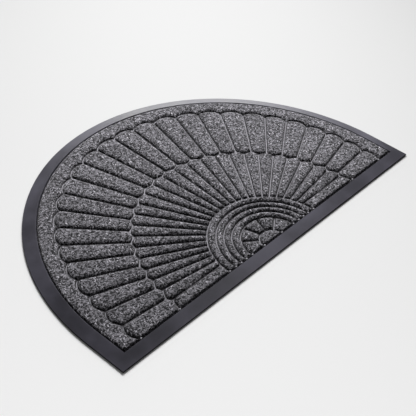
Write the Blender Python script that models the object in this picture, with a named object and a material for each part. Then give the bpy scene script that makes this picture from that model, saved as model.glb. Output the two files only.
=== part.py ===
"""Half-round doormat: a moulded rubber base with a sloping border, and one felt carpet set into it.

The carpet is pressed into raised panels: a fan of petals in two rows round a small rosette, inside a
scalloped band. Units are metres, +Z is up, and the origin is under the middle of the mat's box.
"""

import math

import bmesh
import bpy
from mathutils import Vector

MM = 0.001

# Outline of the mat, seen from above: a straight edge, two short straight sides and half an ellipse
WIDTH = 800 * MM
DEPTH = 500 * MM
SIDE = 83.3 * MM
CHORD_Y = -DEPTH / 2
ARC_CENTRE_Y = CHORD_Y + SIDE
ARC_STEPS = 48

# Heights above the surface that the mat lies on
FELT_UNDER = 3.3 * MM
GROOVE_FLOOR = 5.6 * MM
WALL_TOP = 8.6 * MM
FELT_TOP = 11.5 * MM

# Distances in from the mat's outline; along the straight edge the border is a little narrower
STRAIGHT_SHARE = 0.92
FELT_EDGE = 26.0 * MM
BOUNDARY_LINE = 26.2 * MM
CUSP_LINE = 64.8 * MM
# How much further in the panels end along the straight edge, where a narrow strip of the groove floor is left
FRONT_STRIP = 1.5 * MM

# Tongues of pressed felt that cross this strip to the border, one where each groove opens towards it
TONGUE_WIDTH = 3.0 * MM
TONGUE_START = 0.3 * MM
TONGUE_PAST = 1.6 * MM
TONGUE_SLOPE = 0.3 * MM
TONGUE_TOP = 10.0 * MM

# The border's section, from the underside round the undercut outer edge and up the slope into the well
BORDER_PROFILE = (
    {"inset": 2.5 * MM, "height": 0.0 * MM},
    {"inset": 0.0 * MM, "height": 1.0 * MM},
    {"inset": 0.0 * MM, "height": 2.8 * MM},
    {"inset": 0.8 * MM, "height": 3.6 * MM},
    {"inset": 24.2 * MM, "height": 9.7 * MM},
    {"inset": 25.0 * MM, "height": 9.8 * MM},
    {"inset": 25.6 * MM, "height": 9.2 * MM},
    {"inset": 25.6 * MM, "height": 3.0 * MM},
)

# The fan
FAN_Y = CHORD_Y + 26.3 * MM
PETALS = 26
HALF = PETALS // 2
PITCH = math.pi / PETALS
SCALLOP_WIDTH = 48.0 * MM
SCALLOP_RISE = 10.0 * MM
SCALLOP_STEPS = 6
MID_RING_ACROSS = 245.0 * MM
MID_RING_UP = 269.0 * MM
MID_RING_WAVE = 7.0 * MM
# Turn from one inner petal to the next at their narrow ends, and how far the last nodes of the ring lean
INNER_PITCH = math.radians(6.34)
RING_LEAN = {"in": math.radians(2.5), "out": math.radians(0.7)}
RIB_RADII = (58.6 * MM, 74.5 * MM, 88.6 * MM, 102.7 * MM, 119.0 * MM)
RIB_STEPS = 20
HUB_RADIUS = 24.7 * MM
HUB_STEPS = 10
BLOCKS = 5
BLOCK_STEPS = {"inner": 2, "outer": 4}

# A groove's half width at its floor, at its wall's top and where the soft shoulders of the panels end
FLOOR_HALF = 0.8 * MM
WALL_HALF = 2.1 * MM
TOP_HALF = 4.2 * MM

# How far back from each kind of corner the rounding starts
CUSP_CUT = 6.0 * MM
NODE_CUT = 5.5 * MM
TIP_CUT = 8.5 * MM
SMALL_CUT = 4.5 * MM
BAND_CUT = 4.8 * MM
CORNER_STEPS = 2
# The largest share of a side that one corner's rounding takes
CUT_SHARE = 0.45

RUBBER_GREY = (0.060, 0.058, 0.068, 1.0)
RUBBER_ROUGHNESS = 0.55
FELT_GREY = (0.115, 0.115, 0.120, 1.0)
FELT_ROUGHNESS = 1.0
SHARP_ANGLE = math.radians(35)


def clear_scene():
    for obj in list(bpy.data.objects):
        bpy.data.objects.remove(obj, do_unlink=True)


def material(name, colour, roughness):
    made = bpy.data.materials.new(name)
    made.use_nodes = True
    shader = made.node_tree.nodes["Principled BSDF"]
    shader.inputs["Base Color"].default_value = colour
    shader.inputs["Roughness"].default_value = roughness
    shader.inputs["Metallic"].default_value = 0.0
    made.diffuse_color = colour
    return made


def straight_line(inset):
    return CHORD_Y + STRAIGHT_SHARE * inset


def half_round(inset):
    """Outline of the mat drawn in by inset, from the right end of the straight edge round to the left end."""
    across = WIDTH / 2 - inset
    up = DEPTH - SIDE - inset
    low = straight_line(inset)
    angles = [math.pi * step / ARC_STEPS for step in range(ARC_STEPS + 1)]
    arc = [Vector((across * math.cos(a), ARC_CENTRE_Y + up * math.sin(a))) for a in angles]
    return [Vector((across, low))] + arc + [Vector((-across, low))]


def panel_front():
    """Where the panels end along the straight edge."""
    return straight_line(BOUNDARY_LINE) + FRONT_STRIP


def ray_point(step, radius):
    """Point on a ray of the fan, counted from the axis; the last rays run along the straight edge."""
    if abs(step) == HALF:
        return Vector((math.copysign(radius, step), panel_front()))
    angle = step * PITCH
    return Vector((radius * math.sin(angle), FAN_Y + radius * math.cos(angle)))


def cusp(step):
    """Where two scallops meet: the ray's crossing with the outline drawn in by CUSP_LINE."""
    across = WIDTH / 2 - CUSP_LINE
    up = DEPTH - SIDE - CUSP_LINE
    sine, cosine = math.sin(step * PITCH), math.cos(step * PITCH)
    drop = FAN_Y - ARC_CENTRE_Y
    a = (sine / across) ** 2 + (cosine / up) ** 2
    b = 2 * drop * cosine / up**2
    c = (drop / up) ** 2 - 1
    radius = (-b + math.sqrt(b * b - 4 * a * c)) / (2 * a)
    on_side = FAN_Y + radius * cosine < ARC_CENTRE_Y
    return ray_point(step, across / abs(sine) if on_side else radius)


def mid_ring(step):
    """The wavy ring between the two rows of petals: out on whole rays, in on half rays."""
    node = "out" if step == int(step) else "in"
    angle = step * PITCH - math.copysign(RING_LEAN[node], step) * (step / HALF) ** 2
    across = math.sin(angle) / MID_RING_ACROSS
    up = math.cos(angle) / MID_RING_UP
    radius = 1 / math.hypot(across, up) - (MID_RING_WAVE if node == "in" else 0.0)
    return ray_point(step if abs(step) == HALF else angle / PITCH, radius)


def arc_through(start, end, rise, steps):
    """Points between start and end on the arc that rises this much on the side away from the fan's centre."""
    middle = (start + end) / 2
    half = (end - start).length / 2
    along = (end - start).normalized()
    out = Vector((-along.y, along.x))
    if out.dot(middle - Vector((0, FAN_Y))) < 0:
        out = -out
    radius = (half * half + rise * rise) / (2 * rise)
    centre = middle + out * (rise - radius)
    sweep = math.asin(half / radius)
    turns = [sweep * (2 * step / steps - 1) for step in range(1, steps)]
    return [centre + radius * (along * math.sin(t) + out * math.cos(t)) for t in turns]


def scallop(start, end):
    """Rounded end of an outer petal from one cusp to the next; a narrower one rises less."""
    return arc_through(start, end, SCALLOP_RISE * (end - start).length / SCALLOP_WIDTH, SCALLOP_STEPS)


def ring_arc(radius, first, last, steps):
    """Points on a circle round the fan's centre from ray first to ray last."""
    return [ray_point(first + (last - first) * step / steps, radius) for step in range(steps + 1)]


def corners(points, cuts):
    return [(point, cuts.get(index, 0.0)) for index, point in enumerate(points)]


def outer_petal(step):
    inner = [mid_ring(step), mid_ring(step + 0.5), mid_ring(step + 1)]
    left, right = cusp(step + 1), cusp(step)
    end = scallop(left, right)
    points = inner + [left] + end + [right]
    last = len(points) - 1
    return corners(points, {0: NODE_CUT, 1: TIP_CUT, 2: NODE_CUT, 3: CUSP_CUT, last: CUSP_CUT})


def inner_foot(step):
    """Corner of an inner petal on the outermost ring; these stand a little closer together than the rays."""
    return ray_point(step if abs(step) == HALF else step * INNER_PITCH / PITCH, RIB_RADII[-1])


def inner_petal(step):
    """Petal on a whole ray between its two half rays; the last ones lie along the straight edge."""
    low, high = max(step - 0.5, -HALF), min(step + 0.5, HALF)
    outer = [mid_ring(high), mid_ring(step), mid_ring(low)]
    cuts = {0: SMALL_CUT, 1: SMALL_CUT, 2: NODE_CUT, 3: TIP_CUT, 4: NODE_CUT}
    if low == step:
        outer, cuts = outer[:2], {0: SMALL_CUT, 1: SMALL_CUT, 2: NODE_CUT, 3: NODE_CUT}
    if high == step:
        outer, cuts = outer[1:], {0: SMALL_CUT, 1: SMALL_CUT, 2: NODE_CUT, 3: NODE_CUT}
    return corners([inner_foot(low), inner_foot(high)] + outer, cuts)


def rib(inner, outer):
    points = ring_arc(inner, -HALF, HALF, RIB_STEPS) + ring_arc(outer, HALF, -HALF, RIB_STEPS)
    ends = (0, RIB_STEPS, RIB_STEPS + 1, 2 * RIB_STEPS + 1)
    return corners(points, {index: SMALL_CUT for index in ends})


def rosette_block(number):
    first = -HALF + number * PETALS / BLOCKS
    last = first + PETALS / BLOCKS
    inner, outer = BLOCK_STEPS["inner"], BLOCK_STEPS["outer"]
    points = ring_arc(HUB_RADIUS, first, last, inner) + ring_arc(RIB_RADII[0], last, first, outer)
    ends = (0, inner, inner + 1, inner + 1 + outer)
    return corners(points, {index: SMALL_CUT for index in ends})


def hub():
    points = ring_arc(HUB_RADIUS, -HALF, HALF, HUB_STEPS)
    return corners(points, {0: SMALL_CUT, HUB_STEPS: SMALL_CUT})


def outer_band():
    """The band between the scallops and the border, open to the straight edge at both ends."""
    points = half_round(BOUNDARY_LINE)
    points[0].y = points[-1].y = panel_front()
    cuts = {0: SMALL_CUT, len(points) - 1: SMALL_CUT}
    for step in range(-HALF, HALF):
        start, end = cusp(step), cusp(step + 1)
        cuts[len(points)] = BAND_CUT
        points += [start] + scallop(start, end)
    cuts[len(points)] = BAND_CUT
    return corners(points + [cusp(HALF)], cuts)


def signed_area(points):
    pairs = zip(points, points[1:] + points[:1])
    return sum(a.x * b.y - b.x * a.y for a, b in pairs) / 2


def drawn_in(path, inset):
    """The same corners with every side moved in by inset, for a path that runs counter-clockwise."""
    moved = []
    for index, (point, cut) in enumerate(path):
        before, after = path[index - 1][0], path[(index + 1) % len(path)][0]
        arrive, leave = (point - before).normalized(), (after - point).normalized()
        normal = Vector((-arrive.y - leave.y, arrive.x + leave.x)).normalized()
        reach = inset / normal.dot(Vector((-arrive.y, arrive.x)))
        moved.append((point + normal * reach, max(cut - inset, 0.0)))
    return moved


def rounded(path):
    """Points of the path with each corner that has a cut replaced by a short curve."""
    points = []
    for index, (point, cut) in enumerate(path):
        if cut <= 0:
            points.append(point)
            continue
        back, ahead = path[index - 1][0] - point, path[(index + 1) % len(path)][0] - point
        cut = min(cut, CUT_SHARE * back.length, CUT_SHARE * ahead.length)
        start, end = point + back.normalized() * cut, point + ahead.normalized() * cut
        for step in range(CORNER_STEPS + 1):
            t = step / CORNER_STEPS
            points.append(start * (1 - t) ** 2 + point * 2 * t * (1 - t) + end * t**2)
    return points


def panel_paths():
    paths = [outer_band(), hub()]
    paths += [outer_petal(step) for step in range(-HALF, HALF)]
    paths += [inner_petal(step) for step in range(-HALF, HALF + 1)]
    paths += [rib(inner, outer) for inner, outer in zip(RIB_RADII, RIB_RADII[1:])]
    paths += [rosette_block(number) for number in range(BLOCKS)]
    return [path if signed_area([point for point, _ in path]) > 0 else path[::-1] for path in paths]


def tongue_places():
    """Middles of all tongues along the straight edge."""
    right = [HUB_RADIUS, *RIB_RADII, mid_ring(HALF).x, cusp(HALF).x]
    return [-x for x in right] + right


def tongue_outline(middle, inset):
    """Corners of a tongue drawn in by inset, counter-clockwise."""
    half = TONGUE_WIDTH / 2 - inset
    low = straight_line(FELT_EDGE) + TONGUE_START + inset
    high = panel_front() + TONGUE_PAST - inset
    return [Vector((middle + x, y)) for x, y in ((-half, low), (half, low), (half, high), (-half, high))]


def add_loop(bm, points, height):
    return [bm.verts.new((point.x, point.y, height)) for point in points]


def join_loops(bm, lower, upper):
    """Side faces between two loops of the same length that run counter-clockwise."""
    count = len(lower)
    for index in range(count):
        after = (index + 1) % count
        bm.faces.new((lower[index], lower[after], upper[after], upper[index]))


def loop_edges(bm, loop):
    pairs = zip(loop, loop[1:] + loop[:1])
    return [bm.edges.get(pair) or bm.edges.new(pair) for pair in pairs]


def finish(bm, name, look):
    bmesh.ops.recalc_face_normals(bm, faces=bm.faces)
    mesh = bpy.data.meshes.new(name)
    bm.to_mesh(mesh)
    bm.free()
    mesh.shade_smooth()
    mesh.set_sharp_from_angle(angle=SHARP_ANGLE)
    mesh.materials.append(look)
    obj = bpy.data.objects.new(name, mesh)
    bpy.context.scene.collection.objects.link(obj)
    return obj


def rubber_base():
    """The moulded base: flat underside, sloping border and the well that holds the carpet."""
    bm = bmesh.new()
    loops = [add_loop(bm, half_round(row["inset"]), row["height"]) for row in BORDER_PROFILE]
    for lower, upper in zip(loops, loops[1:]):
        join_loops(bm, lower, upper)
    bm.faces.new(loops[0][::-1])
    bm.faces.new(loops[-1])
    return finish(bm, "rubber_base", material("rubber", RUBBER_GREY, RUBBER_ROUGHNESS))


def felt_carpet():
    """The carpet: a slab as high as the groove floors, from which every panel and tongue is raised."""
    bm = bmesh.new()
    outline = half_round(FELT_EDGE)
    under = add_loop(bm, outline, FELT_UNDER)
    edge = add_loop(bm, outline, GROOVE_FLOOR)
    join_loops(bm, under, edge)
    bm.faces.new(under[::-1])
    floor_edges = loop_edges(bm, edge)
    steps = ((FLOOR_HALF, GROOVE_FLOOR), (WALL_HALF, WALL_TOP), (TOP_HALF, FELT_TOP))
    for path in panel_paths():
        foot, wall, top = [add_loop(bm, rounded(drawn_in(path, half)), z) for half, z in steps]
        join_loops(bm, foot, wall)
        join_loops(bm, wall, top)
        bm.faces.new(top)
        floor_edges += loop_edges(bm, foot)
    for middle in tongue_places():
        foot = add_loop(bm, tongue_outline(middle, 0.0), GROOVE_FLOOR)
        top = add_loop(bm, tongue_outline(middle, TONGUE_SLOPE), TONGUE_TOP)
        join_loops(bm, foot, top)
        bm.faces.new(top)
        floor_edges += loop_edges(bm, foot)
    bmesh.ops.triangle_fill(bm, use_beauty=True, use_dissolve=False, edges=floor_edges)
    return finish(bm, "felt_carpet", material("felt", FELT_GREY, FELT_ROUGHNESS))


def main():
    clear_scene()
    rubber_base()
    felt_carpet()


main()
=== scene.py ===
"""Half-round doormat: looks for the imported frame.

A felt carpet, pressed into a fan of raised petals, lies in the well of a rubber base with a sloping border.
Lengths are in metres, and the origin is under the middle of the mat's box.
"""

import logging
import math
from dataclasses import dataclass
from enum import Enum
from typing import NamedTuple, Sequence

import bmesh
import bpy
from mathutils import Matrix, Vector, noise
from mathutils.kdtree import KDTree


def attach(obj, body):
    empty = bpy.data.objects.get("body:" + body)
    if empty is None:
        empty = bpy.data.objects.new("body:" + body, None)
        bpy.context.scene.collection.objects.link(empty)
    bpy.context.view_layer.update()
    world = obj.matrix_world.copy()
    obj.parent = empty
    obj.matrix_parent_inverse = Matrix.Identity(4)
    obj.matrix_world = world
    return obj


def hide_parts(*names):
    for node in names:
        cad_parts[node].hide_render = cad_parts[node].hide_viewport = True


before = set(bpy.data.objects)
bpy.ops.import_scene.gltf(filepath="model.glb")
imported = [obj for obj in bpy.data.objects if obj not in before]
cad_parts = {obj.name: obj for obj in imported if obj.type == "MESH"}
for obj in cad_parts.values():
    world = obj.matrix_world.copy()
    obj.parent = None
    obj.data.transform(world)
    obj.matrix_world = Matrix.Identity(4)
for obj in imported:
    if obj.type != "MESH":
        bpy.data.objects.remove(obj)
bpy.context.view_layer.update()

LOG = logging.getLogger("doormat")
MM = 0.001


class Corner(NamedTuple):
    """One corner of a panel's outline, and how far back from it the rounding starts."""

    point: Vector
    cut: float


class Level(NamedTuple):
    """One line of a section: how far in from the outline it runs, and its height."""

    inset: float
    height: float


class Slot(Enum):
    """Material slots of the record."""

    RUBBER = "rubber"
    FELT = "felt"


@dataclass(frozen=True)
class Outline:
    """Plan of the mat: a straight edge, two short straight sides and half an ellipse."""

    width: float = 800 * MM
    depth: float = 500 * MM
    side: float = 83.3 * MM
    straight_share: float = 0.92
    arc_steps: int = 150

    @property
    def chord_y(self) -> float:
        """Where the straight edge lies."""
        return -self.depth / 2

    @property
    def arc_y(self) -> float:
        """Where the half ellipse has its centre."""
        return self.chord_y + self.side

    def straight_line(self, inset: float) -> float:
        """Where a line drawn in by inset runs along the straight edge."""
        return self.chord_y + self.straight_share * inset

    def points(self, inset: float) -> list[Vector]:
        """Outline drawn in by inset.

        Args:
            inset: Distance in from the mat's edge.

        Returns:
            Points from the right end of the straight edge, counter-clockwise to its left end.
        """
        across = self.width / 2 - inset
        up = self.depth - self.side - inset
        low = self.straight_line(inset)
        turns = [math.pi * step / self.arc_steps for step in range(self.arc_steps + 1)]
        arc = [Vector((across * math.cos(t), self.arc_y + up * math.sin(t))) for t in turns]
        return [Vector((across, low))] + arc + [Vector((-across, low))]


class Panel:
    """One raised piece of the carpet's pattern, given by its corners in plan."""

    corner_steps = 5
    cut_share = 0.45

    def __init__(self, corners: Sequence[Corner], spacing: float) -> None:
        """Turn the corners counter-clockwise and count the points that each side takes.

        Args:
            corners: The corners in order, either way round.
            spacing: Distance between two points along a side.
        """
        points = [corner.point for corner in corners]
        pairs = zip(points, points[1:] + points[:1])
        area = sum(a.x * b.y - b.x * a.y for a, b in pairs)
        self.corners = list(corners) if area > 0 else list(corners)[::-1]
        around = self.corners[1:] + self.corners[:1]
        sides = [(b.point - a.point).length for a, b in zip(self.corners, around)]
        self.side_steps = [max(1, round(side / spacing)) for side in sides]

    def drawn_in(self, inset: float) -> list[Corner]:
        """The same corners with every side moved in by inset."""
        moved = []
        count = len(self.corners)
        for index, (point, cut) in enumerate(self.corners):
            arrive = (point - self.corners[index - 1].point).normalized()
            leave = (self.corners[(index + 1) % count].point - point).normalized()
            normal = Vector((-arrive.y - leave.y, arrive.x + leave.x)).normalized()
            reach = inset / normal.dot(Vector((-arrive.y, arrive.x)))
            moved.append(Corner(point + normal * reach, max(cut - inset, 0.0)))
        return moved

    def ring(self, inset: float) -> list[Vector]:
        """Points round the panel at this inset, with its corners rounded.

        Args:
            inset: Distance in from the panel's own outline.

        Returns:
            The points, as many at each inset, counter-clockwise.
        """
        corners = self.drawn_in(inset)
        count = len(corners)
        curves = []
        for index, (point, cut) in enumerate(corners):
            back = corners[index - 1].point - point
            ahead = corners[(index + 1) % count].point - point
            if self.corners[index].cut <= 0:
                curves.append([point])
                continue
            cut = min(cut, self.cut_share * back.length, self.cut_share * ahead.length)
            start, end = point + back.normalized() * cut, point + ahead.normalized() * cut
            turns = [step / self.corner_steps for step in range(self.corner_steps + 1)]
            curves.append([start * (1 - t) ** 2 + point * 2 * t * (1 - t) + end * t**2 for t in turns])
        points = []
        for index, curve in enumerate(curves):
            points += curve
            start, end = curve[-1], curves[(index + 1) % count][0]
            steps = self.side_steps[index]
            points += [start.lerp(end, step / steps) for step in range(1, steps)]
        return points


@dataclass(frozen=True)
class Fan:
    """The pressed pattern: two rows of petals round a small rosette, inside a scalloped band."""

    outline: Outline
    centre_rise: float = 26.3 * MM
    boundary_line: float = 26.2 * MM
    front_strip: float = 1.5 * MM
    cusp_line: float = 64.8 * MM
    petals: int = 26
    scallop_width: float = 48.0 * MM
    scallop_rise: float = 10.0 * MM
    scallop_steps: int = 12
    ring_across: float = 245.0 * MM
    ring_up: float = 269.0 * MM
    ring_wave: float = 7.0 * MM
    inner_pitch: float = math.radians(6.34)
    lean_in: float = math.radians(2.5)
    lean_out: float = math.radians(0.7)
    rib_radii: tuple[float, ...] = (58.6 * MM, 74.5 * MM, 88.6 * MM, 102.7 * MM, 119.0 * MM)
    rib_steps: int = 60
    hub_radius: float = 24.7 * MM
    hub_steps: int = 24
    blocks: int = 5
    block_steps: tuple[int, int] = (5, 12)
    cusp_cut: float = 6.0 * MM
    node_cut: float = 5.5 * MM
    tip_cut: float = 8.5 * MM
    small_cut: float = 4.5 * MM
    band_cut: float = 4.8 * MM
    spacing: float = 2.0 * MM

    @property
    def half(self) -> int:
        """Petals on each side of the axis."""
        return self.petals // 2

    @property
    def pitch(self) -> float:
        """Turn from one ray to the next."""
        return math.pi / self.petals

    @property
    def centre_y(self) -> float:
        """Where all rays start."""
        return self.outline.chord_y + self.centre_rise

    @property
    def front_y(self) -> float:
        """Where the panels end along the straight edge."""
        return self.outline.straight_line(self.boundary_line) + self.front_strip

    def boundary(self) -> list[Vector]:
        """Line that all panels keep inside, from the right end of the straight edge round to its left."""
        points = self.outline.points(self.boundary_line)
        points[0].y = points[-1].y = self.front_y
        return points

    def ray(self, step: float, radius: float) -> Vector:
        """Point on ray number step; the last rays run along the straight edge."""
        if abs(step) == self.half:
            return Vector((math.copysign(radius, step), self.front_y))
        turn = step * self.pitch
        return Vector((radius * math.sin(turn), self.centre_y + radius * math.cos(turn)))

    def cusp(self, step: int) -> Vector:
        """Where two scallops meet, on the outline drawn in by the cusp line."""
        plan = self.outline
        across = plan.width / 2 - self.cusp_line
        up = plan.depth - plan.side - self.cusp_line
        sine, cosine = math.sin(step * self.pitch), math.cos(step * self.pitch)
        drop = self.centre_y - plan.arc_y
        a = (sine / across) ** 2 + (cosine / up) ** 2
        b = 2 * drop * cosine / up**2
        c = (drop / up) ** 2 - 1
        radius = (-b + math.sqrt(b * b - 4 * a * c)) / (2 * a)
        on_side = self.centre_y + radius * cosine < plan.arc_y
        return self.ray(step, across / abs(sine) if on_side else radius)

    def node(self, step: float) -> Vector:
        """Node of the wavy ring between the rows: out on whole rays, in on half rays."""
        outer = step == int(step)
        lean = self.lean_out if outer else self.lean_in
        turn = step * self.pitch - math.copysign(lean, step) * (step / self.half) ** 2
        radius = 1 / math.hypot(math.sin(turn) / self.ring_across, math.cos(turn) / self.ring_up)
        radius -= 0.0 if outer else self.ring_wave
        return self.ray(step if abs(step) == self.half else turn / self.pitch, radius)

    def foot(self, step: float) -> Vector:
        """Corner of an inner petal on the outermost rib's edge."""
        last = abs(step) == self.half
        return self.ray(step if last else step * self.inner_pitch / self.pitch, self.rib_radii[-1])

    def scallop(self, start: Vector, end: Vector) -> list[Vector]:
        """Points between two cusps, on the arc that rises away from the fan's centre.

        Args:
            start: The first cusp.
            end: The next cusp.

        Returns:
            The points, without the two cusps.
        """
        along = end - start
        half, rise = along.length / 2, self.scallop_rise * along.length / self.scallop_width
        middle = (start + end) / 2
        along.normalize()
        out = Vector((-along.y, along.x))
        if out.dot(middle - Vector((0, self.centre_y))) < 0:
            out = -out
        radius = (half * half + rise * rise) / (2 * rise)
        centre = middle + out * (rise - radius)
        sweep = math.asin(half / radius)
        turns = [sweep * (2 * step / self.scallop_steps - 1) for step in range(1, self.scallop_steps)]
        return [centre + radius * (along * math.sin(t) + out * math.cos(t)) for t in turns]

    def arc(self, radius: float, first: float, last: float, steps: int) -> list[Vector]:
        """Points on a circle round the fan's centre from ray first to ray last."""
        return [self.ray(first + (last - first) * step / steps, radius) for step in range(steps + 1)]

    def panel(self, points: Sequence[Vector], cuts: dict[int, float]) -> Panel:
        """A panel from its outline's points and the rounding of those that are corners."""
        return Panel([Corner(p, cuts.get(i, 0.0)) for i, p in enumerate(points)], self.spacing)

    def outer_petal(self, step: int) -> Panel:
        """Petal between ray number step and the next, with its scalloped end."""
        left, right = self.cusp(step + 1), self.cusp(step)
        points = [self.node(step), self.node(step + 0.5), self.node(step + 1), left]
        points += self.scallop(left, right) + [right]
        last = len(points) - 1
        cuts = {0: self.node_cut, 1: self.tip_cut, 2: self.node_cut, 3: self.cusp_cut, last: self.cusp_cut}
        return self.panel(points, cuts)

    def inner_petal(self, step: int) -> Panel:
        """Petal round ray number step; the last ones have one side along the straight edge."""
        low, high = max(step - 0.5, -self.half), min(step + 0.5, self.half)
        outer = [self.node(high), self.node(step), self.node(low)]
        cuts = {0: self.small_cut, 1: self.small_cut, 2: self.node_cut, 3: self.tip_cut, 4: self.node_cut}
        if step in (low, high):
            outer = outer[:2] if low == step else outer[1:]
            cuts = {0: self.small_cut, 1: self.small_cut, 2: self.node_cut, 3: self.node_cut}
        return self.panel([self.foot(low), self.foot(high)] + outer, cuts)

    def rib(self, inner: float, outer: float) -> Panel:
        """Half ring between two radii."""
        steps = self.rib_steps
        points = self.arc(inner, -self.half, self.half, steps)
        points += self.arc(outer, self.half, -self.half, steps)
        return self.panel(points, {i: self.small_cut for i in (0, steps, steps + 1, 2 * steps + 1)})

    def block(self, number: int) -> Panel:
        """One of the rosette's wedges."""
        first = -self.half + number * self.petals / self.blocks
        last = first + self.petals / self.blocks
        inner, outer = self.block_steps
        points = self.arc(self.hub_radius, first, last, inner)
        points += self.arc(self.rib_radii[0], last, first, outer)
        return self.panel(points, {i: self.small_cut for i in (0, inner, inner + 1, inner + 1 + outer)})

    def hub(self) -> Panel:
        """The half disc in the middle of the rosette."""
        points = self.arc(self.hub_radius, -self.half, self.half, self.hub_steps)
        return self.panel(points, {0: self.small_cut, self.hub_steps: self.small_cut})

    def band(self) -> Panel:
        """The band between the scallops and the border, open to the straight edge at both ends."""
        points = self.boundary()
        cuts = {0: self.small_cut, len(points) - 1: self.small_cut}
        for step in range(-self.half, self.half):
            cuts[len(points)] = self.band_cut
            points += [self.cusp(step)] + self.scallop(self.cusp(step), self.cusp(step + 1))
        cuts[len(points)] = self.band_cut
        return self.panel(points + [self.cusp(self.half)], cuts)

    @property
    def mouths(self) -> list[float]:
        """How far from the axis the grooves open towards the straight edge."""
        return [self.hub_radius, *self.rib_radii, self.node(self.half).x, self.cusp(self.half).x]

    def panels(self) -> list[Panel]:
        """Every raised piece of the pattern."""
        made = [self.band(), self.hub()]
        made += [self.outer_petal(step) for step in range(-self.half, self.half)]
        made += [self.inner_petal(step) for step in range(-self.half, self.half + 1)]
        made += [self.rib(inner, outer) for inner, outer in zip(self.rib_radii, self.rib_radii[1:])]
        return made + [self.block(number) for number in range(self.blocks)]


class Graph:
    """A material's node tree, built one node at a time."""

    def __init__(self, name: str) -> None:
        """Start a material whose tree has only its shader and output."""
        self.material = bpy.data.materials.new(name)
        self.material.use_nodes = True
        self.tree = self.material.node_tree
        self.shader = self.tree.nodes["Principled BSDF"]
        self.place = self.node("ShaderNodeTexCoord").outputs["Object"]

    def node(self, kind: str, **settings: object) -> bpy.types.Node:
        """Add a node and set its properties."""
        made = self.tree.nodes.new(kind)
        for key, value in settings.items():
            setattr(made, key, value)
        return made

    def link(self, source: object, node: bpy.types.Node, socket: str | int) -> None:
        """Set a socket of a node from a number, a tuple or another node's output."""
        target = node.inputs[socket]
        if isinstance(source, bpy.types.NodeSocket):
            self.tree.links.new(source, target)
        else:
            target.default_value = source

    def mapped(self, scale: tuple[float, float, float], turn: float = 0.0) -> object:
        """Object coordinates, turned about the vertical and scaled.

        Args:
            scale: Waves per metre along the three axes.
            turn: Turn about the vertical, in degrees.

        Returns:
            The vector output.
        """
        turned = self.node("ShaderNodeMapping")
        self.link(self.place, turned, "Vector")
        turned.inputs["Rotation"].default_value = (0.0, 0.0, math.radians(turn))
        scaled = self.node("ShaderNodeVectorMath", operation="MULTIPLY")
        self.link(turned.outputs[0], scaled, 0)
        scaled.inputs[1].default_value = scale
        return scaled.outputs[0]

    def above_ground(self) -> object:
        """Height of the surface in the piece's own coordinates."""
        parts = self.node("ShaderNodeSeparateXYZ")
        self.link(self.place, parts, 0)
        return parts.outputs[2]

    def noise(self, place: object, detail: float, rough: float = 0.5) -> object:
        """Noise between 0 and 1.

        Args:
            place: Coordinates; the coarsest waves are one unit of them long.
            detail: How many times finer waves are laid over the coarsest.
            rough: How strong each finer set is against the one before it.

        Returns:
            The value output.
        """
        made = self.node("ShaderNodeTexNoise")
        self.link(place, made, "Vector")
        for key, value in (("Scale", 1.0), ("Detail", detail), ("Roughness", rough)):
            made.inputs[key].default_value = value
        return made.outputs["Fac"]

    def span(
        self, value: object, low: float, high: float, to_low: float = 0.0, to_high: float = 1.0
    ) -> object:
        """Spread a value smoothly over another range.

        Args:
            value: The value.
            low: Where the spread starts.
            high: Where it ends.
            to_low: The result at low and below.
            to_high: The result at high and above.

        Returns:
            The value output.
        """
        made = self.node("ShaderNodeMapRange", interpolation_type="SMOOTHSTEP")
        for index, source in enumerate((value, low, high, to_low, to_high)):
            self.link(source, made, index)
        return made.outputs[0]

    def maths(self, operation: str, first: object, second: object = 0.0) -> object:
        """One arithmetic step."""
        made = self.node("ShaderNodeMath", operation=operation)
        self.link(first, made, 0)
        self.link(second, made, 1)
        return made.outputs[0]

    def blend(self, share: object, first: object, second: object) -> object:
        """Colour between first and second."""
        made = self.node("ShaderNodeMix", data_type="RGBA")
        self.link(share, made, 0)
        self.link(first, made, 6)
        self.link(second, made, 7)
        return made.outputs[2]

    def bump(self, height: object, depth: float) -> object:
        """Normal that a height pattern gives.

        Args:
            height: Height pattern between 0 and 1.
            depth: How deep the pattern is, in metres.

        Returns:
            The normal output.
        """
        made = self.node("ShaderNodeBump")
        made.inputs["Distance"].default_value = depth
        made.inputs["Strength"].default_value = 1.0
        self.link(height, made, "Height")
        return made.outputs[0]

    def finish(self, **sockets: object) -> bpy.types.Material:
        """Set the shader's sockets by name, with underscores for spaces, and return the material."""
        for key, source in sockets.items():
            self.link(source, self.shader, key.replace("_", " "))
        return self.material


def grey(value: float, red: float = 0.0, blue: float = 0.0) -> tuple[float, float, float, float]:
    """A grey with this share of red and of blue added to it."""
    return (value * (1 + red), value, value * (1 + blue), 1.0)


class Fibres(NamedTuple):
    """Fibres that lie one way: their turn in degrees, where the noise shows them, and how strongly."""

    turn: float
    low: float
    high: float
    share: float


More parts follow.
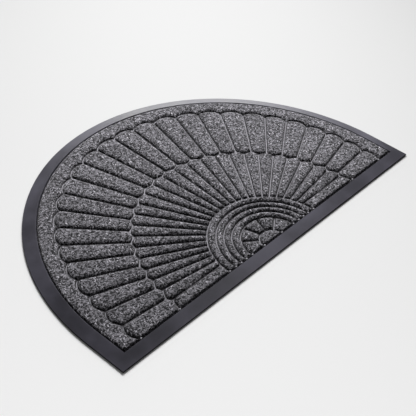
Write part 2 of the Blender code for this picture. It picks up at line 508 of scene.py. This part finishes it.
@dataclass(frozen=True)
class FeltFinish:
    """Needle-punched felt: black, grey and white fibres mixed.

    Waves are per metre. The painted pile shade gives two heights and a share: the felt's colour darkens
    below the second height, down to that share of its tone at the first, as painted shade in the grooves
    and at the walls' foot.
    """

    dark: float = 0.006
    bright: float = 0.174
    light: float = 0.48
    fused: float = 0.33
    fused_share: float = 0.72
    red: float = 0.03
    blue: float = 0.10
    painted_pile_shade: tuple[float, float, float] = (8.4 * MM, 10.4 * MM, 0.45)
    clump_waves: float = 300.0
    clump_rough: float = 0.65
    clump_span: tuple[float, float] = (0.40, 0.60)
    broad_waves: float = 28.0
    broad_span: tuple[float, float] = (0.3, 0.7)
    broad_tone: tuple[float, float] = (0.88, 1.12)
    fibre_long: float = 130.0
    fibre_thin: float = 520.0
    curl_waves: float = 160.0
    curl: float = 3.0
    dark_fibres: Fibres = Fibres(25.0, 0.53, 0.61, 0.95)
    light_fibres: Fibres = Fibres(105.0, 0.64, 0.71, 0.9)
    cross_fibres: Fibres = Fibres(165.0, 0.65, 0.72, 0.8)
    clump_height: float = 0.8
    fibre_height: float = 0.3
    depth: float = 1.2 * MM
    fused_depth: float = 0.3 * MM

    def mask(self, graph: Graph, fibres: Fibres) -> object:
        """Where the fibres that lie one way show.

        Args:
            graph: The material's nodes.
            fibres: The fibres.

        Returns:
            A value output that is 1 on a fibre and 0 beside it.
        """
        curl = graph.noise(graph.mapped((self.curl_waves,) * 3, fibres.turn), detail=1.0)
        straight = graph.mapped((self.fibre_long, self.fibre_thin, self.fibre_thin), fibres.turn)
        sideways = graph.node("ShaderNodeCombineXYZ")
        graph.link(curl, sideways, 1)
        stray = graph.node("ShaderNodeVectorMath", operation="SCALE")
        graph.link(sideways.outputs[0], stray, 0)
        graph.link(self.curl, stray, "Scale")
        bent = graph.node("ShaderNodeVectorMath", operation="ADD")
        graph.link(straight, bent, 0)
        graph.link(stray.outputs[0], bent, 1)
        return graph.span(graph.noise(bent.outputs[0], detail=1.0), fibres.low, fibres.high)

    def build(self, name: str, pressed: bool) -> bpy.types.Material:
        """Make the material.

        Args:
            name: Name of the material.
            pressed: Whether this is the fused, lighter felt on the groove floors.

        Returns:
            The material.
        """
        graph = Graph(name)
        black, white = grey(self.dark, self.red, self.blue), grey(self.light, self.red, self.blue)
        clumps = graph.noise(graph.mapped((self.clump_waves,) * 3), detail=3.0, rough=self.clump_rough)
        broad = graph.noise(graph.mapped((self.broad_waves,) * 3), detail=3.0)
        bright = grey(self.bright, self.red, self.blue)
        base = graph.blend(graph.span(clumps, *self.clump_span), black, bright)
        kinds = (self.dark_fibres, self.light_fibres, self.cross_fibres)
        dark, light, cross = (self.mask(graph, kind) for kind in kinds)
        for kind, mask, colour in zip(kinds, (dark, light, cross), (black, white, white)):
            base = graph.blend(graph.maths("MULTIPLY", mask, kind.share), base, colour)
        tone = graph.span(broad, *self.broad_span, *self.broad_tone)
        if pressed:
            base = graph.blend(self.fused_share, base, grey(self.fused, self.red, self.blue))
        else:
            # painted shade: below these heights the felt's colour is darkened, standing in for the shadow
            # down the groove walls
            low, high, share = self.painted_pile_shade
            tone = graph.maths("MULTIPLY", tone, graph.span(graph.above_ground(), low, high, share, 1.0))
        shade = graph.node("ShaderNodeVectorMath", operation="SCALE")
        graph.link(base, shade, 0)
        graph.link(tone, shade, "Scale")
        high_clumps = graph.maths("MULTIPLY", clumps, self.clump_height)
        high_fibres = graph.maths("MULTIPLY", light, self.fibre_height)
        height = graph.maths("ADD", high_clumps, high_fibres)
        normal = graph.bump(height, self.fused_depth if pressed else self.depth)
        return graph.finish(
            Base_Color=shade.outputs[0],
            Roughness=0.75 if pressed else 1.0,
            Normal=normal,
            Sheen_Weight=0.1 if pressed else 0.12,
            Sheen_Roughness=0.5,
            Specular_IOR_Level=0.25 if pressed else 0.1,
        )


@dataclass(frozen=True)
class RubberFinish:
    """Moulded recycled rubber, dark grey and satin with a faint bloom, and near black on the outer wall,
    partly a matt cut finish and partly painted shade.

    Waves are per metre. It is moulded below the first height of underside and above the second of the cut
    edge's heights;
    between them the outer wall is darkened and less glossy, partly a cut finish and partly painted shade.
    """

    colour: float = 0.028
    bloom: float = 0.062
    red: float = 0.04
    blue: float = 0.28
    # near black of the outer wall: partly the cut finish, partly painted shade
    cut: float = 0.008
    cut_and_shaded_edge: tuple[float, float] = (2.8 * MM, 3.5 * MM)
    underside: tuple[float, float] = (0.05 * MM, 0.4 * MM)
    cloud_waves: float = 7.0
    cloud_turn: float = 60.0
    cloud_span: tuple[float, float] = (0.35, 0.7)
    rough_span: tuple[float, float] = (0.3, 0.7)
    rough: tuple[float, float] = (0.40, 0.52)
    stipple_waves: float = 1400.0
    stipple_depth: float = 0.05 * MM
    gloss: float = 0.5

    def build(self) -> bpy.types.Material:
        """Make the material."""
        graph = Graph("moulded_rubber")
        cloud = graph.noise(graph.mapped((self.cloud_waves,) * 3, self.cloud_turn), detail=5.0, rough=0.6)
        stipple = graph.noise(graph.mapped((self.stipple_waves,) * 3), detail=2.0)
        plain, bloom = grey(self.colour, self.red, self.blue), grey(self.bloom, self.red, self.blue)
        colour = graph.blend(graph.span(cloud, *self.cloud_span), plain, bloom)
        height = graph.above_ground()
        upper, lower = graph.span(height, *self.cut_and_shaded_edge), graph.span(height, *self.underside, 1.0, 0.0)
        # painted shade, partly a cut finish: between the heights the outer wall turns near black and less
        # glossy
        moulded = graph.maths("MAXIMUM", upper, lower)
        colour = graph.blend(moulded, grey(self.cut), colour)
        rough = graph.span(cloud, *self.rough_span, *self.rough)
        normal = graph.bump(stipple, self.stipple_depth)
        gloss = graph.maths("MULTIPLY", moulded, self.gloss)
        return graph.finish(Base_Color=colour, Roughness=rough, Normal=normal, Specular_IOR_Level=gloss)


def lift(bm: bmesh.types.BMesh, ring: Sequence[bmesh.types.BMVert], places: Sequence[Vector]) -> list:
    """Extrude a ring's edges and set the new ring in place.

    Args:
        bm: The mesh.
        ring: The ring's vertices in order.
        places: Where the new vertices go, in the same order.

    Returns:
        The new ring's vertices in order.
    """
    edges = [bm.edges.get(pair) or bm.edges.new(pair) for pair in zip(ring, ring[1:] + ring[:1])]
    made = bmesh.ops.extrude_edge_only(bm, edges=edges)["geom"]
    new = {item for item in made if isinstance(item, bmesh.types.BMVert)}
    above = [next(e.other_vert(v) for e in v.link_edges if e.other_vert(v) in new) for v in ring]
    for vert, place in zip(above, places):
        vert.co = place
    return above


def at_height(points: Sequence[Vector], height: float) -> list[Vector]:
    """Plan points set at a height."""
    return [Vector((point.x, point.y, height)) for point in points]


def start_ring(bm: bmesh.types.BMesh, places: Sequence[Vector]) -> list:
    """First ring of a piece."""
    return [bm.verts.new(place) for place in places]


def cap(bm: bmesh.types.BMesh, ring: Sequence[bmesh.types.BMVert]) -> bmesh.types.BMFace:
    """Close a ring with one flat face that keeps its own shading."""
    face = bm.faces.new(ring)
    face.smooth = False
    return face


def join(bm: bmesh.types.BMesh, piece: bmesh.types.BMesh) -> None:
    """Add one bmesh to another and free it."""
    mesh = bpy.data.meshes.new("part")
    piece.to_mesh(mesh)
    piece.free()
    bm.from_mesh(mesh)
    bpy.data.meshes.remove(mesh)


def piece_from(bm: bmesh.types.BMesh, name: str, looks: Sequence[bpy.types.Material]) -> bpy.types.Object:
    """Turn a bmesh into a finished piece at the origin."""
    bmesh.ops.recalc_face_normals(bm, faces=bm.faces)
    mesh = bpy.data.meshes.new(name)
    bm.to_mesh(mesh)
    bm.free()
    for look in looks:
        mesh.materials.append(look)
    piece = bpy.data.objects.new(name, mesh)
    bpy.context.scene.collection.objects.link(piece)
    return piece


def close_points(ring: Sequence[Vector], spacing: float = 0.5 * MM) -> list[Vector]:
    """Points close together along a closed line in plan."""
    points = []
    for start, end in zip(ring, ring[1:] + ring[:1]):
        steps = max(1, math.ceil((end - start).length / spacing))
        points += [start.lerp(end, step / steps).to_3d() for step in range(steps)]
    return points


def search_tree(points: Sequence[Vector]) -> KDTree:
    """Search tree of some points."""
    tree = KDTree(len(points))
    for index, point in enumerate(points):
        tree.insert(point, index)
    tree.balance()
    return tree


def distance(tree: KDTree, point: Vector) -> float:
    """Distance from a point to the nearest one in a tree; without end where the tree is empty."""
    found = tree.find(point)[2]
    return math.inf if found is None else found


@dataclass(frozen=True)
class Shoulder:
    """How the felt falls away towards a wall: by how much, and over what width."""

    drop: float
    width: float
    swell: float = 0.7

    def fall(self, inside: float) -> float:
        """How far below the panel's middle the felt lies, this far inside the wall."""
        share = 1 - min(inside / self.width, 1.0)
        return self.drop * (1 - (1 - share**2) ** self.swell)


@dataclass(frozen=True)
class Tongue:
    """Pressed felt that climbs from a groove's floor to the border where the groove opens."""

    width: float = 3.0 * MM
    length: float = 3.0 * MM
    front_top: float = 10.0 * MM
    back_top: float = 9.6 * MM
    sunk: float = 0.6 * MM
    rounding: float = 0.4 * MM

    def build(self, x: float, y: float, floor: float) -> bmesh.types.BMesh:
        """Make one tongue.

        Args:
            x: Middle of the groove's mouth.
            y: Where the tongue starts, at the border.
            floor: Height of the groove's floor.

        Returns:
            The tongue as a closed bmesh.
        """
        piece = bmesh.new()
        low = floor - self.sunk
        size = Matrix.Diagonal((self.width, self.length, self.front_top - low, 1.0))
        middle = Vector((x, y + self.length / 2, (self.front_top + low) / 2))
        bmesh.ops.create_cube(piece, size=1.0, matrix=Matrix.Translation(middle) @ size)
        bmesh.ops.bevel(
            piece,
            geom=piece.edges[:],
            offset=self.rounding,
            segments=2,
            profile=0.5,
            affect="EDGES",
            material=-1,
        )
        for vert in piece.verts:
            if vert.co.z > middle.z:
                vert.co.z -= (self.front_top - self.back_top) * (vert.co.y - y) / self.length
        for face in piece.faces:
            face.smooth = True
            face.material_index = 1
        return piece


@dataclass(frozen=True)
class FeltCarpet:
    """The carpet: one piece of felt whose panels stand up round narrow grooves."""

    outline: Outline
    fan: Fan
    edge: float = 26.0 * MM
    under: float = 3.3 * MM
    floor: float = 5.6 * MM
    top: float = 11.5 * MM
    foot: float = 0.8 * MM
    wall: float = 2.1 * MM
    pressed_side: Shoulder = Shoulder(2.9 * MM, 6.6 * MM)
    cut_side: Shoulder = Shoulder(1.4 * MM, 3.0 * MM)
    cut_reach: float = 3.2 * MM
    mouth: float = 0.9 * MM
    tongue: Tongue = Tongue()
    tongue_gap: float = 0.3 * MM
    net: float = 2.8 * MM
    snap: float = 0.1 * MM
    fine_snap: float = 0.01 * MM
    under_facing: float = -0.9
    lumps: tuple[tuple[float, float], ...] = ((70.0, 0.16 * MM), (210.0, 0.12 * MM))
    ragged: float = 0.5 * MM
    ragged_waves: float = 240.0
    ragged_seed: int = 1

    def height(self, point: Vector, pressed: float, cut: float) -> float:
        """Height of a panel's top: it swells from the walls round it to the panel's middle.

        Args:
            point: The point in plan.
            pressed: How far it lies from the panel's walls along the grooves.
            cut: How far it lies from the wall along the carpet's cut edge.

        Returns:
            The height.
        """
        fall = max(self.pressed_side.fall(pressed), self.cut_side.fall(cut))
        plan = Vector((point.x, point.y, 0.0))
        uneven = sum(size * noise.noise(plan * waves) for waves, size in self.lumps)
        return self.top - fall + uneven * min(1.0, pressed / self.pressed_side.width)

    def wobble(self, point: Vector) -> Vector:
        """How far the cut felt strays from the drawn line here."""
        fine = noise.noise_vector(Vector((point.x, point.y, 0.0)) * self.ragged_waves)
        return Vector((fine.x, fine.y)) * self.ragged

    def cut_net(self, bm: bmesh.types.BMesh) -> None:
        """Cut a panel along a square net, so that its top can swell."""
        for axis in (0, 1):
            across = Vector((1.0 - axis, float(axis), 0.0))
            places = [vert.co[axis] for vert in bm.verts]
            for number in range(math.floor(min(places) / self.net) + 1, math.ceil(max(places) / self.net)):
                whole = bm.verts[:] + bm.edges[:] + bm.faces[:]
                place = across * number * self.net
                bmesh.ops.bisect_plane(bm, geom=whole, dist=self.snap, plane_co=place, plane_no=across)

    def raise_panel(self, bm: bmesh.types.BMesh, panel: Panel, cut_line: KDTree) -> None:
        """Raise one panel from the groove floor.

        Args:
            bm: The carpet's mesh.
            panel: The panel.
            cut_line: Search tree of the line that the carpet was cut along.
        """
        piece = bmesh.new()
        shift = [self.wobble(point) for point in panel.ring(self.foot)]
        foot = [point + stray for point, stray in zip(panel.ring(self.foot), shift)]
        wall = [point + stray for point, stray in zip(panel.ring(self.wall), shift)]
        ring = start_ring(piece, at_height(foot, self.floor))
        ring = lift(piece, ring, at_height(wall, self.top))
        cap(piece, ring)
        self.cut_net(piece)
        edge = close_points(wall)
        is_cut = [cut_line.find(point)[2] < self.cut_reach for point in edge]
        cut = search_tree([point for point, here in zip(edge, is_cut) if here])
        pressed = search_tree([point for point, here in zip(edge, is_cut) if not here])
        middle = (self.floor + self.top) / 2
        for vert in piece.verts:
            if vert.co.z > middle:
                plan = Vector((vert.co.x, vert.co.y, 0.0))
                vert.co.z = self.height(plan, distance(pressed, plan), distance(cut, plan))
        join(bm, piece)

    @property
    def mouth_line(self) -> float:
        """Where the grooves open towards the straight edge."""
        return self.fan.front_y + self.foot + self.mouth

    def cut_mouths(self, bm: bmesh.types.BMesh, floor: Sequence[bmesh.types.BMFace]) -> list:
        """Cut the groove floors along the line where they open towards the straight edge.

        Args:
            bm: The carpet's mesh.
            floor: The faces of the groove floors.

        Returns:
            The floor's faces after the cut.
        """
        edges = {edge for face in floor for edge in face.edges}
        verts = {vert for face in floor for vert in face.verts}
        line = Vector((0.0, self.mouth_line, 0.0))
        up = Vector((0.0, 1.0, 0.0))
        whole = list(verts) + list(edges) + list(floor)
        made = bmesh.ops.bisect_plane(bm, geom=whole, dist=self.fine_snap, plane_co=line, plane_no=up)
        return [item for item in made["geom"] if isinstance(item, bmesh.types.BMFace)]

    def on_rim(self, face: bmesh.types.BMFace, rim: set) -> bool:
        """Whether a floor face lies along the cut edge and not in a groove."""
        along_straight = face.calc_center_median().y < self.mouth_line
        at_mouth = any(abs(vert.co.y - self.mouth_line) < self.snap for vert in face.verts)
        return along_straight or (not at_mouth and bool(rim.intersection(face.verts)))

    def build(self) -> bpy.types.Object:
        """Make the carpet, dress it and hand it to the frame."""
        noise.seed_set(self.ragged_seed)
        bm = bmesh.new()
        border = [point + self.wobble(point) for point in self.outline.points(self.edge)]
        rim = start_ring(bm, at_height(border, self.floor))
        bottom = lift(bm, rim, at_height(border, self.under))
        cap(bm, bottom)
        cut_line = search_tree(close_points(self.fan.boundary()))
        for panel in self.fan.panels():
            self.raise_panel(bm, panel, cut_line)
        for face in bm.faces:
            face.smooth = face.normal.z > self.under_facing
        open_edges = [edge for edge in bm.edges if edge.is_boundary]
        filled = bmesh.ops.triangle_fill(bm, use_beauty=True, use_dissolve=False, edges=open_edges)["geom"]
        for face in self.cut_mouths(bm, [item for item in filled if isinstance(item, bmesh.types.BMFace)]):
            face.smooth = False
            face.material_index = 0 if self.on_rim(face, set(rim)) else 1
        start = self.outline.straight_line(self.edge) + self.tongue_gap
        for place in self.fan.mouths:
            for side in (-place, place):
                join(bm, self.tongue.build(side, start, self.floor))
        finish = FeltFinish()
        looks = [finish.build("heather_felt", False), finish.build("pressed_felt", True)]
        carpet = piece_from(bm, "carpet", looks)
        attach(carpet, "root")
        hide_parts("felt_carpet")
        self.declare()
        return carpet

    def declare(self) -> None:
        """Work out the area of felt that the carpet was cut from; nothing is done with it."""
        points = self.outline.points(self.edge)
        pairs = zip(points, points[1:] + points[:1])
        area = sum(a.x * b.y - b.x * a.y for a, b in pairs) / 2


@dataclass(frozen=True)
class RubberBase:
    """The moulded base: flat underside, sloping border and the well for the carpet."""

    outline: Outline
    edge_height: float = 3.6 * MM
    lip_height: float = 9.8 * MM
    lip_inset: float = 24.9 * MM
    well_inset: float = 25.6 * MM
    plate: float = 3.0 * MM
    undercut: float = 2.5 * MM
    undercut_height: float = 1.0 * MM
    slope_steps: int = 14
    curved_share: float = 0.1
    edge_radius: float = 1.0 * MM
    lip_radius: float = 0.7 * MM
    round_steps: int = 4
    sharp_angle: float = math.radians(40)

    def section(self) -> list[Level]:
        """The border's section, from the underside round the edge and up the slope into the well."""
        made = [Level(self.undercut, 0.0), Level(0.0, self.undercut_height)]
        radius = self.edge_radius
        for step in range(self.round_steps + 1):
            turn = math.pi / 2 * step / self.round_steps
            height = self.edge_height - radius + radius * math.sin(turn)
            made.append(Level(radius * (1 - math.cos(turn)), height))
        start, end = radius, self.lip_inset - self.lip_radius
        for step in range(1, self.slope_steps + 1):
            share = step / self.slope_steps
            curved = share * share * (3 - 2 * share)
            risen = self.curved_share * curved + (1 - self.curved_share) * share
            height = self.edge_height + (self.lip_height - self.edge_height) * risen
            made.append(Level(start + (end - start) * share, height))
        drop = self.lip_radius
        for step in range(1, self.round_steps + 1):
            turn = math.pi / 2 * step / self.round_steps
            made.append(Level(end + drop * math.sin(turn), self.lip_height - drop * (1 - math.cos(turn))))
        wall_top = self.lip_height - 2 * drop
        return made + [Level(self.well_inset, wall_top), Level(self.well_inset, self.plate)]

    def build(self) -> bpy.types.Object:
        """Make the base, dress it and hand it to the frame."""
        bm = bmesh.new()
        levels = self.section()
        places = [at_height(self.outline.points(inset), height) for inset, height in levels]
        first = ring = start_ring(bm, places[0])
        for above in places[1:]:
            ring = lift(bm, ring, above)
        for face in bm.faces:
            face.smooth = True
        cap(bm, first)
        cap(bm, ring)
        base = piece_from(bm, "base", [RubberFinish().build()])
        base.data.set_sharp_from_angle(angle=self.sharp_angle)
        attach(base, "root")
        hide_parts("rubber_base")
        return base


@dataclass(frozen=True)
class Studio:
    """Pale floor, soft lights and the camera."""

    eye: tuple[float, float, float] = (-1.07713, -0.93171, 1.16392)
    forward: tuple[float, float, float] = (0.59333, 0.47547, -0.64952)
    upward: tuple[float, float, float] = (0.45223, 0.47063, 0.75762)
    lens: float = 83.35
    sensor: float = 36.0
    reach: float = 50.0
    floor_size: float = 12.0
    floor_tone: float = 0.542
    floor_fade: float = 0.89
    floor_limits: tuple[float, float] = (0.27, 0.98)
    behind: tuple[float, float] = (0.737, 0.676)
    softbox_away: float = 1.60
    softbox_up: float = 1.30
    softbox_size: tuple[float, float] = (1.2, 0.9)
    softbox_power: float = 101.0
    panel_away: float = 2.30
    panel_up: float = 0.50
    panel_size: tuple[float, float] = (1.3, 0.8)
    panel_power: float = 19.5
    card_place: tuple[float, float, float] = (0.85, -0.05, 1.55)
    card_size: tuple[float, float] = (0.5, 0.5)
    card_power: float = 2.6
    room_light: float = 0.15

    def camera(self) -> None:
        """Set the camera where the view was measured to be."""
        data = bpy.data.cameras.new("view")
        data.sensor_width = self.sensor
        data.lens = self.lens
        data.clip_end = self.reach
        back = -Vector(self.forward).normalized()
        side = Vector(self.upward).cross(back).normalized()
        up = back.cross(side)
        camera = bpy.data.objects.new("view", data)
        turn = Matrix((side, up, back)).transposed().to_4x4()
        camera.matrix_world = Matrix.Translation(self.eye) @ turn
        bpy.context.scene.collection.objects.link(camera)
        bpy.context.scene.camera = camera

    def floor(self) -> None:
        """Lay the pale floor; its tone fades towards the lights, so that it looks evenly lit."""
        bm = bmesh.new()
        bmesh.ops.create_grid(bm, x_segments=1, y_segments=1, size=self.floor_size / 2)
        graph = Graph("pale_floor")
        away = graph.node("ShaderNodeVectorMath", operation="DOT_PRODUCT")
        graph.link(graph.place, away, 0)
        away.inputs[1].default_value = (*self.behind, 0.0)
        faded = graph.maths("EXPONENT", graph.maths("MULTIPLY", away.outputs["Value"], -self.floor_fade))
        darkest, palest = self.floor_limits
        tone = graph.maths("MAXIMUM", graph.maths("MULTIPLY", faded, self.floor_tone), darkest)
        tone = graph.maths("MINIMUM", tone, palest)
        look = graph.finish(Base_Color=tone, Roughness=0.9, Specular_IOR_Level=0.0)
        floor = piece_from(bm, "floor", [look])

    def lamp(self, name: str, place: Vector, size: tuple[float, float], power: float) -> bpy.types.Object:
        """Add one soft light that faces the mat.

        Args:
            name: Name of the light.
            place: Where it hangs.
            size: Width and height of its panel.
            power: Power in watts.

        Returns:
            The light.
        """
        data = bpy.data.lights.new(name, "AREA")
        data.shape = "RECTANGLE"
        data.size, data.size_y = size
        data.energy = power
        lamp = bpy.data.objects.new(name, data)
        turn = (-place).to_track_quat("-Z", "Y").to_matrix().to_4x4()
        lamp.matrix_world = Matrix.Translation(place) @ turn
        bpy.context.scene.collection.objects.link(lamp)
        return lamp

    def lamps(self) -> None:
        """Add the softbox, the low panel behind it and a card that is only mirrored in the rubber."""
        plan = Vector(self.behind)
        high = (plan * self.softbox_away).to_3d() + Vector((0, 0, self.softbox_up))
        low = (plan * self.panel_away).to_3d() + Vector((0, 0, self.panel_up))
        softbox = self.lamp("softbox", high, self.softbox_size, self.softbox_power)
        softbox.visible_glossy = False
        self.lamp("low_panel", low, self.panel_size, self.panel_power)
        card = self.lamp("card", Vector(self.card_place), self.card_size, self.card_power)
        card.visible_diffuse = False

    def room(self) -> bpy.types.World:
        """Weak even light from all round."""
        world = bpy.data.worlds.new("room")
        world.use_nodes = True
        sky = world.node_tree.nodes["Background"]
        sky.inputs["Color"].default_value = (1.0, 1.0, 1.0, 1.0)
        sky.inputs["Strength"].default_value = self.room_light
        return world

    def build(self) -> None:
        """Set up the whole studio."""
        scene = bpy.context.scene
        scene.view_settings.view_transform = "Standard"
        scene.view_settings.look = "None"
        scene.world = self.room()
        self.floor()
        self.lamps()
        self.camera()


def main() -> None:
    """Build the mat and its studio in order."""
    logging.basicConfig(level=logging.INFO, format="%(name)s: %(message)s")
    outline = Outline()
    fan = Fan(outline)
    for maker in (RubberBase(outline), FeltCarpet(outline, fan)):
        piece = maker.build()
        LOG.info("%s: %d faces", piece.name, len(piece.data.polygons))
    Studio().build()
    LOG.info("studio ready")


if __name__ == "__main__":
    main()
